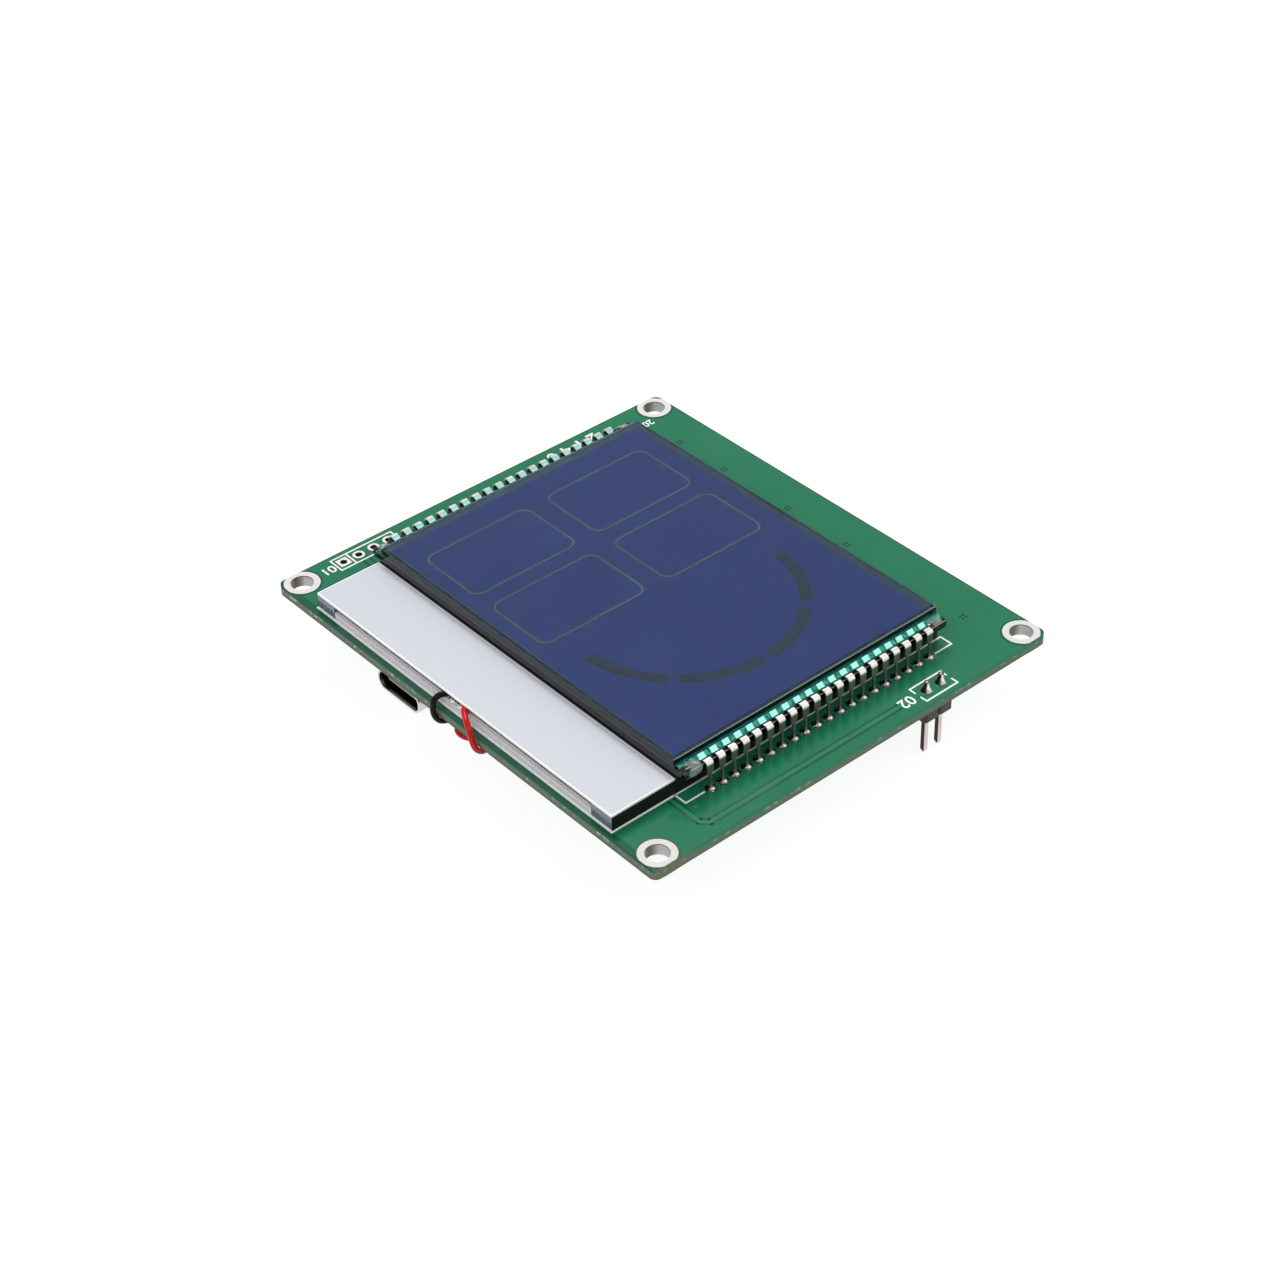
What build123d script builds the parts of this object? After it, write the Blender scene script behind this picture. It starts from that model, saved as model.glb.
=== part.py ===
from build123d import *
import os
from math import pi, radians, tan

os.makedirs("parts", exist_ok=True)

# Millimetres. The origin is the centre of the four mounting holes, in the board's underside.
# +X runs along the pin rows, +Y from the front pin row to the back one, +Z towards the viewer.

# Cuts run past the stock by this much.
overcut = 1.0

# Circuit board, with its margins round the display
board_side_margin = 11.3
board_end_margin = 7.15
board_thickness = 1.6
board_corner_radius = 1.0
plating = 0.05
mount_side_inset = 2.45
mount_end_inset = 2.3
mount_radius = 1.6
mount_pad_radius = 2.5

# Backlight, lying on the board under the display and out to its left edge
display_y = 0.25
backlight_edge_gap = 0.9
backlight_side_inset = 0.3
backlight_end_reach = 0.5
reflector_thickness = 0.2
guide_thickness = 2.0
diffuser_thickness = 0.3
side_tape_thickness = 0.1
side_tape_height = 2.0

# Strip of lamps let into the left edge of the light guide
strip_end_inset = 3.85
strip_thickness = 0.6
strip_height = 1.15
lamp_count = 9
lamp_end_inset = 0.8
lamp_length = 3.0
lamp_depth = 1.0
lamp_height = 0.95
lamp_corner = 0.12
strip_pocket_clearance = 0.1
contact_length = 0.8
contact_depth = 0.18
contact_thickness = 0.05

# Display cell
glass_width = 45.4
front_glass_length = 59.3
ledge_depth = 1.95
glass_thickness = 1.1
cell_gap = 0.06
seal_width = 1.0
polarizer_thickness = 0.2
polarizer_side_inset = 0.2
polarizer_end_inset = 0.4
end_seal_length = 9.0
end_seal_bulge = 0.35
end_seal_height = 1.5
end_seal_y = 1.8

# Segment pattern
pattern_left_margin = 1.95
pattern_right_margin = 2.85
pattern_top_margin = 4.2
pattern_bottom_margin = 5.63
frame_gap_x = 3.1
frame_gap_y = 2.55
frame_line = 0.34
frame_corner_radius = 1.7
arc_drop = 4.3
arc_side_inset = 1.98
arc_line = 1.72
arc_section_angle = 39.5
arc_gap_angle = 4.6
arc_middle_angle = 270.0

# Clip pins on the ledges of the rear glass
pins_per_row = 20
pin_pitch = 2.0
pin_sheet = 0.2
clip_width = 1.05
clip_clearance = 0.45
lip_gap = 0.7
lip_length = 0.45
lip_rise = 0.45
finger_seat = 0.25
crest_rise = 0.27
crest_length = 0.2
bend_radius = 0.55
lower_finger_reach = 1.1
lower_finger_slot = 0.7
shoulder_drop = 0.25
leg_width = 0.42
leg_splay = 0.1
leg_protrusion = 0.9
pin_drill_radius = 0.45
pin_pad_radius = 0.78

# Solder cones at the pins
solder_height = 0.45
solder_tip_radius = 0.33
solder_under_height = 0.6
solder_waist = 0.25
solder_waist_height = 0.4

# Resin on the ledges
resin_height = 0.34
resin_end_inset = 1.7
resin_reach = 1.3
resin_shoulder_reach = 0.91
resin_shoulder_height = 0.3
blob_side_inset = 1.0
blob_width = 1.45
blob_depth = 1.25
blob_inset = 1.3
blob_height = 1.15
blob_drop = 0.45

# Two-pin header under the board
header_side_inset = 18.85
header_row_gap = 4.53
header_pitch = 2.54
header_pin = 0.64
header_pin_above = 3.0
header_pin_below = 8.5
header_pin_tip = 0.45
header_pin_taper = 0.18
spacer_height = 2.5
spacer_depth = 2.5
spacer_corner = 0.55
header_drill_radius = 0.55
header_pad_radius = 0.78
header_solder_height = 1.5
header_solder_tip_radius = 0.4

# Row of four empty plated holes
socket_side_inset = 9.4
socket_row_gap = 4.0
socket_holes = 4
socket_pad_radius = 0.87

# White legend on the board
legend_line = 0.24
legend_thickness = 0.03
legend_pad_clearance = 0.15
pin_box_overhang = 4.1
backlight_line_gap = 0.12
header_box_width = 5.6
header_box_depth = 3.1
header_box_gap = 0.85
socket_box_width = 10.2
socket_box_depth = 2.75

# Copper that stands out under the mask
trace_width = 0.62
trace_thickness = 0.035
trace_turn = 0.8
trace_side_inset = 9.9
trace_pad_gap = 0.35
trace_end_gap = 0.45
via_radius = 0.16
via_pitch = 0.55
via_side_inset = 5.6
via_rows = (27.1, 17.7, 4.6, -7.1, -29.0)

# Receptacle for the supply and data plug, under the left edge
port_y = 12.3
port_width = 8.94
port_height = 3.16
port_corner_radius = 1.4
port_wall = 0.3
port_length = 7.35
port_setback = 0.25
port_block_length = 2.4
port_tongue_width = 6.6
port_tongue_thickness = 0.7
port_tongue_length = 4.2
port_tongue_round = 0.2
port_clearance = 0.05
port_contact_count = 12
port_contact_pitch = 0.5
port_contact_width = 0.25
port_contact_length = 3.3
port_contact_thickness = 0.05
port_tail_length = 0.9
port_tail_thickness = 0.15
port_leg_inset = 1.6
port_leg_overlap = 0.1
port_leg_width = 1.1
port_leg_height = 1.6
port_leg_foot = 0.7

# Leads of the backlight
lead_diameter = 0.8
lead_bend_share = 0.45
lead_solder_offsets = (1.35, -0.3)
lead_solder_length = 1.3
lead_solder_height = 0.3
lead_pad_radius = 0.9
lead_pad_height = 0.95

# Small parts under the board
driver_x = 3.0
driver_y = 2.0
driver_size = 7.0
driver_height = 1.4
driver_standoff = 0.1
driver_chamfer = 0.15
driver_pins_per_side = 12
driver_pin_pitch = 0.5
driver_pin_width = 0.22
driver_pin_shoulder = 0.35
driver_pin_heel = 0.5
driver_pin_reach = 1.0
driver_pin_sheet = 0.13
regulator_offset = 4.0
regulator_length = 2.9
regulator_width = 1.3
regulator_height = 1.0
regulator_pin_pitch = 0.95
regulator_pin_width = 0.4
regulator_pin_reach = 0.55
regulator_pin_thickness = 0.2
resistor_length = 1.6
resistor_width = 0.8
resistor_height = 0.45
resistor_cap = 0.3
resistor_pitch = 2.0
resistor_column_offset = 4.4
resistor_column_count = 5
resistor_driver_offset = 8.0
capacitor_length = 2.0
capacitor_width = 1.25
capacitor_height = 0.85
capacitor_cap = 0.4
capacitor_pitch = 3.2
capacitor_regulator_offset = 4.5
capacitor_driver_offset = -8.0

# Levels of the stack, from the board up
board_top = board_thickness
guide_bottom = board_top + reflector_thickness
guide_top = guide_bottom + guide_thickness
diffuser_top = guide_top + diffuser_thickness
rear_glass_bottom = diffuser_top + polarizer_thickness
ledge = rear_glass_bottom + glass_thickness
front_glass_bottom = ledge + cell_gap
front_glass_top = front_glass_bottom + glass_thickness
display_top = front_glass_top + polarizer_thickness

# Sizes and edges in plan
rear_glass_length = front_glass_length + 2 * ledge_depth
board_width = glass_width + 2 * board_side_margin
board_length = rear_glass_length + 2 * board_end_margin
board_left = -board_width / 2
backlight_left = board_left + backlight_edge_gap
backlight_right = glass_width / 2 - backlight_side_inset
backlight_front = display_y - front_glass_length / 2 - backlight_end_reach
backlight_back = display_y + front_glass_length / 2 + backlight_end_reach
strip_front = backlight_front + strip_end_inset
strip_back = backlight_back - strip_end_inset
lamp_pitch = (strip_back - strip_front - lamp_length - 2 * lamp_end_inset) / (lamp_count - 1)
glass_end = rear_glass_length / 2
front_glass_end = front_glass_length / 2
pin_drill_inner_radius = pin_drill_radius - plating
clip_outer = glass_end + clip_clearance + pin_sheet
pin_hole_distance = clip_outer - pin_sheet / 2 + leg_splay
header_x = board_width / 2 - header_side_inset
header_y = display_y - pin_hole_distance - header_row_gap
socket_x = board_left + socket_side_inset
socket_y = display_y + pin_hole_distance + socket_row_gap
via_x = board_width / 2 - via_side_inset
trace_left_x = board_left + trace_side_inset

# The segment pattern fills the space inside the seal
cell_width = glass_width - 2 * seal_width
cell_length = front_glass_length - 2 * seal_width
pattern_width = cell_width - pattern_left_margin - pattern_right_margin
pattern_x = (pattern_left_margin - pattern_right_margin) / 2
pattern_top_y = display_y + cell_length / 2 - pattern_top_margin
pattern_bottom_y = display_y - cell_length / 2 + pattern_bottom_margin
arc_outer_radius = pattern_width / 2 - arc_side_inset
arc_centre_y = pattern_bottom_y + arc_outer_radius
frame_width = (pattern_width - frame_gap_x) / 2
frame_height = (pattern_top_y - arc_centre_y - arc_drop - frame_gap_y) / 2
frame_pitch_x = frame_width + frame_gap_x
frame_pitch_y = frame_height + frame_gap_y


def block(x0, x1, y0, y1, z0, z1):
    """A box between two corners."""
    middle = Pos((x0 + x1) / 2, (y0 + y1) / 2, (z0 + z1) / 2)
    return middle * Box(x1 - x0, y1 - y0, z1 - z0)


def slab(width, length, z0, z1, x=0.0, y=0.0):
    """A box of a given width and length round a centre, between two levels."""
    return block(x - width / 2, x + width / 2, y - length / 2, y + length / 2, z0, z1)


def rod(x, y, radius, z0, z1):
    """A vertical cylinder between two levels."""
    return Pos(x, y, (z0 + z1) / 2) * Cylinder(radius, z1 - z0)


def egg(x, y, z, half_x, half_y, half_z):
    """An ellipsoid."""
    return Pos(x, y, z) * scale(Sphere(1), by=(half_x, half_y, half_z))


def prism(points, half_width):
    """A profile in the YZ plane, made solid to both sides of X zero."""
    face = make_face(Polyline(*[(0, y, z) for y, z in points], close=True))
    return extrude(face, half_width, dir=(1, 0, 0), both=True)


def turned(points_and_arcs):
    """A profile in the XZ plane, turned about Z."""
    return revolve(make_face(points_and_arcs), Axis.Z)


def write(name, *shapes):
    """Store one node as a group of separate solids."""
    solids = [solid for shape in shapes for solid in shape.solids()]
    group = solids[0] if len(solids) == 1 else Compound(children=solids)
    export_step(group, f"parts/{name}.step")


def spread(count, pitch):
    """Places of evenly spaced copies about zero."""
    return [(index - (count - 1) / 2) * pitch for index in range(count)]


# Circuit board with its plated holes

def board_outline(z0, z1):
    blank = slab(board_width, board_length, z0, z1)
    return fillet(blank.edges().filter_by(Axis.Z), board_corner_radius)


def plated_hole(x, y, pad_radius, drill_radius, square=False):
    """A tinned ring on each face of the board, joined by a tube through it."""
    low = -plating
    high = board_top + plating
    if square:
        rings = slab(2 * pad_radius, 2 * pad_radius, low, 0, x, y)
        rings += slab(2 * pad_radius, 2 * pad_radius, board_top, high, x, y)
    else:
        rings = rod(x, y, pad_radius, low, 0)
        rings += rod(x, y, pad_radius, board_top, high)
    tube = rings + rod(x, y, drill_radius, low, high)
    return tube - rod(x, y, drill_radius - plating, low - overcut, high + overcut)


mount_x = board_width / 2 - mount_side_inset
mount_y = board_length / 2 - mount_end_inset
mount_places = [(sx * mount_x, sy * mount_y) for sx in (-1, 1) for sy in (-1, 1)]
mount_drill_radius = mount_radius + plating
pin_xs = spread(pins_per_row, pin_pitch)
pin_rows = [display_y - pin_hole_distance, display_y + pin_hole_distance]
header_xs = [header_x + offset for offset in spread(2, header_pitch)]
socket_xs = [socket_x + index * header_pitch for index in range(socket_holes)]

drills = [rod(x, y, mount_drill_radius, -overcut, board_top + overcut) for x, y in mount_places]
drills += [rod(x, y, pin_drill_radius, -overcut, board_top + overcut) for y in pin_rows for x in pin_xs]
drills += [rod(x, header_y, header_drill_radius, -overcut, board_top + overcut) for x in header_xs]
drills += [rod(x, socket_y, header_drill_radius, -overcut, board_top + overcut) for x in socket_xs]
circuit_board = board_outline(0, board_top) - drills
write("circuit_board", circuit_board)

pad_limit = board_outline(-overcut, board_top + overcut)
mount_rings = [
    plated_hole(x, y, mount_pad_radius, mount_drill_radius) & pad_limit for x, y in mount_places
]
write("mounting_hole_rings", *mount_rings)

socket_rings = [
    plated_hole(x, socket_y, socket_pad_radius, header_drill_radius, square=(x == socket_x))
    for x in socket_xs
]
write("socket_rings", *socket_rings)
header_rings = [plated_hole(x, header_y, header_pad_radius, header_drill_radius) for x in header_xs]
write("header_rings", *header_rings)
pin_ring = plated_hole(0, 0, pin_pad_radius, pin_drill_radius)
write("display_pin_rings", *[Pos(x, y, 0) * pin_ring for y in pin_rows for x in pin_xs])


# White legend lines

def legend(x0, x1, y0, y1):
    """One printed bar, given the ends of its middle line."""
    half = legend_line / 2
    return block(x0 - half, x1 + half, y0 - half, y1 + half, board_top, board_top + legend_thickness)


def legend_frame(x0, x1, y0, y1):
    """A printed rectangle."""
    half = legend_line / 2
    outer = legend(x0, x1, y0, y1)
    low = board_top - overcut
    high = board_top + overcut
    return outer - block(x0 + half, x1 - half, y0 + half, y1 - half, low, high)


pin_box_x = pin_xs[-1] + pin_box_overhang
pin_clear = pin_xs[-1] + pin_pad_radius + legend_line


def pin_box(row_y, inner_y):
    """The box round a pin row, open along the pads that its outer line meets."""
    near, far = sorted((row_y, inner_y))
    frame = legend_frame(-pin_box_x, pin_box_x, near, far)
    return frame - slab(
        2 * pin_clear, 2 * overcut, board_top - overcut, board_top + overcut, 0, row_y
    )


line_left = backlight_left - backlight_line_gap
line_front = backlight_front - backlight_line_gap
line_back = backlight_back + backlight_line_gap
backlight_lines = legend(line_left, line_left, line_front, line_back)
backlight_lines += legend(line_left, -pin_box_x, line_front, line_front)
backlight_lines += legend(line_left, -pin_box_x, line_back, line_back)
pad_room = mount_pad_radius + legend_pad_clearance
backlight_lines -= [
    rod(x, y, pad_room, board_top - overcut, board_top + overcut) for x, y in mount_places
]

header_frame = legend_frame(
    header_x - header_box_width / 2,
    header_x + header_box_width / 2,
    header_y - header_box_depth / 2,
    header_y + header_box_depth / 2,
)
header_frame -= slab(
    header_box_width + overcut,
    header_box_gap,
    board_top - overcut,
    board_top + overcut,
    header_x,
    header_y,
)
socket_left = socket_x - header_pitch / 2
socket_frame = legend_frame(
    socket_left,
    socket_left + socket_box_width,
    socket_y - socket_box_depth / 2,
    socket_y + socket_box_depth / 2,
)
socket_divider = legend(
    socket_left + header_pitch,
    socket_left + header_pitch,
    socket_y - socket_box_depth / 2,
    socket_y + socket_box_depth / 2,
)
legend_shapes = [pin_box(pin_rows[0], line_front), pin_box(pin_rows[1], line_back)]
legend_shapes += [backlight_lines, header_frame, socket_frame + socket_divider]
write("board_legend", *legend_shapes)


# Copper trace from the header, and covered vias

def trace_bar(x0, y0, x1, y1):
    """A straight stretch of raised trace with rounded ends."""
    path = Line((x0, y0), (x1, y1))
    angle = Vector(x1 - x0, y1 - y0, 0).get_signed_angle(Vector(1, 0, 0), Vector(0, 0, -1))
    middle = path @ 0.5
    face = Pos(middle.X, middle.Y) * Rot(0, 0, angle) * SlotCenterToCenter(path.length, trace_width)
    return Pos(0, 0, board_top) * extrude(face, trace_thickness)


trace_start_x = header_xs[0] - header_pad_radius - trace_pad_gap
trace_end_y = line_front - trace_end_gap
header_trace = trace_bar(trace_start_x, header_y, trace_left_x + trace_turn, header_y)
header_trace += trace_bar(trace_left_x + trace_turn, header_y, trace_left_x, header_y + trace_turn)
header_trace += trace_bar(trace_left_x, header_y + trace_turn, trace_left_x, trace_end_y)
write("header_trace", header_trace)

vias = [
    rod(via_x + dx, y + dy, via_radius, board_top, board_top + trace_thickness)
    for y in via_rows
    for dx in spread(2, via_pitch)
    for dy in spread(2, via_pitch)
]
write("covered_vias", *vias)


# Backlight

reflector = block(
    backlight_left, backlight_right, backlight_front, backlight_back, board_top, guide_bottom
)
write("reflector_sheet", reflector)

strip_bottom = guide_bottom
strip_top = strip_bottom + strip_height
pocket_depth = strip_thickness + lamp_depth + strip_pocket_clearance
light_guide = block(
    backlight_left, backlight_right, backlight_front, backlight_back, guide_bottom, guide_top
)
light_guide -= block(
    backlight_left - overcut,
    backlight_left + pocket_depth,
    strip_front - strip_pocket_clearance,
    strip_back + strip_pocket_clearance,
    guide_bottom - overcut,
    guide_top + overcut,
)
write("light_guide", light_guide)

diffuser = block(
    backlight_left, backlight_right, backlight_front, backlight_back, guide_top, diffuser_top
)
write("diffuser_sheet", diffuser)

tape_inside = block(
    backlight_left - overcut, backlight_right, backlight_front, backlight_back, board_top, display_top
)
side_tape = block(
    backlight_left,
    backlight_right + side_tape_thickness,
    backlight_front - side_tape_thickness,
    backlight_back + side_tape_thickness,
    guide_bottom,
    guide_bottom + side_tape_height,
)
write("black_side_tape", side_tape - tape_inside)

strip_board = block(
    backlight_left,
    backlight_left + strip_thickness,
    strip_front,
    strip_back,
    strip_bottom,
    strip_top,
)
write("lamp_strip_board", strip_board)

lamp_body = Box(lamp_depth, lamp_length, lamp_height)
lamp_body = fillet(lamp_body.edges().filter_by(Axis.X), lamp_corner)
lamp_x = backlight_left + strip_thickness + lamp_depth / 2
lamp_z = strip_bottom + lamp_height / 2
lamp_ys = [display_y + offset for offset in spread(lamp_count, lamp_pitch)]
write("edge_lamps", *[Pos(lamp_x, y, lamp_z) * lamp_body for y in lamp_ys])

lead_solder_ys = [display_y + offset for offset in lead_solder_offsets]
contact_ys = [display_y + offset for offset in spread(2 * lamp_count - 1, lamp_pitch / 2)]
contact_ys = [
    y for y in contact_ys if all(abs(y - solder_y) > lead_solder_length for solder_y in lead_solder_ys)
]
strip_inner = backlight_left + strip_thickness
lamp_contacts = [
    block(
        strip_inner - contact_depth,
        strip_inner,
        y - contact_length / 2,
        y + contact_length / 2,
        strip_top,
        strip_top + contact_thickness,
    )
    for y in contact_ys
]
write("lamp_contacts", *lamp_contacts)


# Display cell

rear_glass = slab(glass_width, rear_glass_length, rear_glass_bottom, ledge, 0, display_y)
front_glass = slab(
    glass_width, front_glass_length, front_glass_bottom, front_glass_top, 0, display_y
)
write("rear_glass", rear_glass)
write("front_glass", front_glass)

seal = slab(glass_width, front_glass_length, ledge, front_glass_bottom, 0, display_y)
seal -= slab(cell_width, cell_length, ledge - overcut, front_glass_bottom + overcut, 0, display_y)
write("perimeter_seal", seal)

polarizer_width = glass_width - 2 * polarizer_side_inset
polarizer_length = front_glass_length - 2 * polarizer_end_inset
front_polarizer = slab(
    polarizer_width, polarizer_length, front_glass_top, display_top, 0, display_y
)
rear_polarizer = slab(
    polarizer_width, polarizer_length, diffuser_top, rear_glass_bottom, 0, display_y
)
write("front_polarizer", front_polarizer)
write("rear_polarizer", rear_polarizer)

end_seal = egg(
    glass_width / 2, end_seal_y, ledge, end_seal_bulge, end_seal_length / 2, end_seal_height / 2
)
end_seal -= slab(glass_width, rear_glass_length, 0, display_top + overcut, 0, display_y)
write("end_seal", end_seal)


# Segments of the display

def frame_segment(x, y):
    """One outlined field with rounded corners."""
    outer = RectangleRounded(frame_width, frame_height, frame_corner_radius)
    inner = RectangleRounded(
        frame_width - 2 * frame_line, frame_height - 2 * frame_line, frame_corner_radius - frame_line
    )
    return Pos(x, y, ledge) * extrude(outer - inner, cell_gap)


def arc_segment(start):
    """One stretch of the half ring."""
    centre = (pattern_x, arc_centre_y)
    outer = CenterArc(centre, arc_outer_radius, start, arc_section_angle)
    inner = CenterArc(centre, arc_outer_radius - arc_line, start, arc_section_angle)
    sides = [Line(outer @ 0, inner @ 0), Line(outer @ 1, inner @ 1)]
    return Pos(0, 0, ledge) * extrude(make_face([outer, inner] + sides), cell_gap)


frame_rows = [pattern_top_y - frame_height / 2 - row * frame_pitch_y for row in range(2)]
frames = [
    frame_segment(pattern_x + offset, y) for y in frame_rows for offset in spread(2, frame_pitch_x)
]
write("outlined_segments", *frames)

arc_step_angle = arc_section_angle + arc_gap_angle
arc_start_angle = arc_middle_angle - arc_section_angle / 2
arcs = [arc_segment(arc_start_angle + turn) for turn in spread(4, arc_step_angle)]
write("arc_segments", *arcs)

crystal = slab(cell_width, cell_length, ledge, front_glass_bottom, 0, display_y)
write("liquid_crystal_layer", crystal - frames - arcs)


# Clip pins. One is drawn for a row at +Y, with Y counted from the display's middle.

def clip_profile():
    """The bent sheet: a lip, a seat on the ledge, a crest, the shoulder past the glass and a lower finger."""
    lip_tip = front_glass_end + lip_gap
    seat_inner = lip_tip + lip_length
    seat_outer = seat_inner + finger_seat
    crest_inner = clip_outer - bend_radius - crest_length
    crest = ledge + crest_rise
    shoulder_bottom = rear_glass_bottom - shoulder_drop
    finger_bottom = rear_glass_bottom - pin_sheet
    lower_tip = clip_outer - lower_finger_reach
    shoulder_inner = clip_outer - pin_sheet
    return [
        (lip_tip, ledge + lip_rise),
        (lip_tip, ledge + lip_rise + pin_sheet),
        (seat_inner, ledge + pin_sheet),
        (seat_outer, ledge + pin_sheet),
        (crest_inner, crest + pin_sheet),
        (clip_outer, crest + pin_sheet),
        (clip_outer, shoulder_bottom),
        (shoulder_inner, shoulder_bottom),
        (shoulder_inner, finger_bottom),
        (lower_tip, finger_bottom),
        (lower_tip, rear_glass_bottom),
        (shoulder_inner, rear_glass_bottom),
        (shoulder_inner, crest),
        (crest_inner, crest),
        (seat_outer, ledge),
        (seat_inner, ledge),
    ]


def clip_pin():
    """A clip with its narrow leg, which goes down to its hole in the board."""
    clip = prism(clip_profile(), clip_width / 2)
    for radius in (bend_radius, bend_radius - pin_sheet):
        cross_edges = clip.edges().filter_by(Axis.X)
        corner = cross_edges.sort_by(lambda edge: edge.center().Y + edge.center().Z)[-1]
        clip = fillet(corner, radius)
    shoulder_bottom = rear_glass_bottom - shoulder_drop
    clip -= block(
        -lower_finger_slot / 2,
        lower_finger_slot / 2,
        clip_outer - lower_finger_reach - overcut,
        clip_outer - pin_sheet,
        rear_glass_bottom - pin_sheet - overcut,
        rear_glass_bottom,
    )
    foot = pin_hole_distance
    leg = prism(
        [
            (clip_outer - pin_sheet, shoulder_bottom),
            (clip_outer, shoulder_bottom),
            (foot + pin_sheet / 2, board_top),
            (foot + pin_sheet / 2, -leg_protrusion),
            (foot - pin_sheet / 2, -leg_protrusion),
            (foot - pin_sheet / 2, board_top),
        ],
        leg_width / 2,
    )
    return clip + leg


def solder_cone(top_height, under_height, base_radius, tip_radius, fill_radius):
    """Solder in a plated hole, hollowed towards its tip above and below the board."""
    high = board_top + plating
    low = -plating
    waist = tip_radius + solder_waist * (base_radius - tip_radius)
    outline = [
        Line((0, 0, low - under_height), (0, 0, high + top_height)),
        Line((0, 0, high + top_height), (tip_radius, 0, high + top_height)),
        ThreePointArc(
            (tip_radius, 0, high + top_height),
            (waist, 0, high + solder_waist_height * top_height),
            (base_radius, 0, high),
        ),
        Line((base_radius, 0, high), (fill_radius, 0, high)),
        Line((fill_radius, 0, high), (fill_radius, 0, low)),
        Line((fill_radius, 0, low), (base_radius, 0, low)),
        ThreePointArc(
            (base_radius, 0, low),
            (waist, 0, low - solder_waist_height * under_height),
            (tip_radius, 0, low - under_height),
        ),
        Line((tip_radius, 0, low - under_height), (0, 0, low - under_height)),
    ]
    return turned(outline)


pin = clip_pin()
pin_solder = Pos(0, pin_hole_distance, 0) * solder_cone(
    solder_height, solder_under_height, pin_pad_radius, solder_tip_radius, pin_drill_inner_radius
)
pin_solder -= pin
back_row = [Pos(x, display_y, 0) for x in pin_xs]
front_row = [Pos(x, display_y, 0) * Rot(0, 0, 180) for x in pin_xs]
front_pins = [place * pin for place in front_row]
back_pins = [place * pin for place in back_row]
write("front_clip_pins", *front_pins)
write("back_clip_pins", *back_pins)
write("front_pin_solder", *[place * pin_solder for place in front_row])
write("back_pin_solder", *[place * pin_solder for place in back_row])


# Resin over the fingers and at the ends of each row

def ledge_resin():
    """A bead on the back ledge, from the front glass to the step of the fingers."""
    inner = front_glass_end
    outer = inner + resin_reach
    edge = [
        Line((0, inner, ledge), (0, inner, ledge + resin_height)),
        ThreePointArc(
            (0, inner, ledge + resin_height),
            (0, inner + resin_shoulder_reach, ledge + resin_shoulder_height),
            (0, outer, ledge),
        ),
        Line((0, outer, ledge), (0, inner, ledge)),
    ]
    half_length = glass_width / 2 - resin_end_inset
    return extrude(make_face(edge), half_length, dir=(1, 0, 0), both=True)


bead = ledge_resin()
shifted_pins = [Pos(x, 0, 0) * pin for x in pin_xs]
bead = bead - shifted_pins
write("back_ledge_resin", Pos(0, display_y, 0) * bead)
write("front_ledge_resin", Pos(0, display_y, 0) * Rot(0, 0, 180) * bead)

glass_block = slab(glass_width, rear_glass_length, board_top, ledge, 0, display_y)
upper_block = slab(glass_width, front_glass_length, ledge, display_top + overcut, 0, display_y)
blobs = []
for side_x in (-1, 1):
    for side_y in (-1, 1):
        blob = egg(
            side_x * (glass_width / 2 - blob_side_inset),
            display_y + side_y * (clip_outer - blob_inset),
            ledge - blob_drop,
            blob_width,
            blob_depth,
            blob_height,
        )
        blobs.append(blob - glass_block - upper_block)
beads = [Pos(0, display_y, 0) * bead, Pos(0, display_y, 0) * Rot(0, 0, 180) * bead]
blobs = [blob - beads for blob in blobs]
blobs = [blob - [front_pins[0], front_pins[-1], back_pins[0], back_pins[-1]] for blob in blobs]
write("corner_resin", *blobs)


# Two-pin header

spacer_unit = fillet(
    slab(header_pitch, spacer_depth, -spacer_height, 0).edges().filter_by(Axis.Z), spacer_corner
)
header_stock = slab(header_pin, header_pin, -header_pin_below, header_pin_above)
stock_faces = header_stock.faces().sort_by(Axis.Z)
tip_edges = stock_faces[0].edges() + stock_faces[-1].edges()
header_post = chamfer(tip_edges, header_pin_tip, header_pin_taper)
spacer = Part() + [Pos(x, header_y, 0) * spacer_unit for x in header_xs]
spacer = spacer - [Pos(x, header_y, 0) * header_stock for x in header_xs]
write("header_spacer", Pos(0, 0, -plating) * spacer)
write("header_pins", *[Pos(x, header_y, 0) * header_post for x in header_xs])

header_joint = solder_cone(
    header_solder_height,
    header_solder_height,
    header_pad_radius,
    header_solder_tip_radius,
    header_drill_radius - plating,
)
header_joint = header_joint & slab(header_pitch, header_pitch, -plating, header_pin_above)
header_joint -= header_post
write("header_solder", *[Pos(x, header_y, 0) * header_joint for x in header_xs])


# Plug receptacle under the left edge

def port_section(width, height, radius, x0, x1):
    """A rounded bar along X, with its middle on the receptacle's axis."""
    face = Plane.YZ * RectangleRounded(height=height, width=width, radius=radius)
    bar = extrude(face, x1 - x0)
    return Pos(x0, port_y, -port_height / 2) * bar


port_mouth = board_left + port_setback
port_rear = port_mouth + port_length
inner_width = port_width - 2 * port_wall
inner_height = port_height - 2 * port_wall
inner_radius = port_corner_radius - port_wall
port_bore = port_section(
    inner_width, inner_height, inner_radius, port_mouth - overcut, port_rear + overcut
)
port_shell = port_section(port_width, port_height, port_corner_radius, port_mouth, port_rear)
port_shell -= port_bore
leg_span = port_width / 2
for leg_x in (port_mouth + port_leg_inset, port_rear - port_leg_inset):
    for side in (-1, 1):
        wall_y = port_y + side * leg_span
        inner_y = wall_y - side * port_leg_overlap
        low, high = sorted((inner_y, wall_y + side * port_wall))
        port_shell += slab(port_leg_width, high - low, -port_leg_height, 0, leg_x, (low + high) / 2)
        low, high = sorted((wall_y, wall_y + side * port_leg_foot))
        port_shell += slab(port_leg_width, high - low, -port_wall, 0, leg_x, (low + high) / 2)
port_shell -= port_bore
write("port_shell", port_shell)

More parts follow.
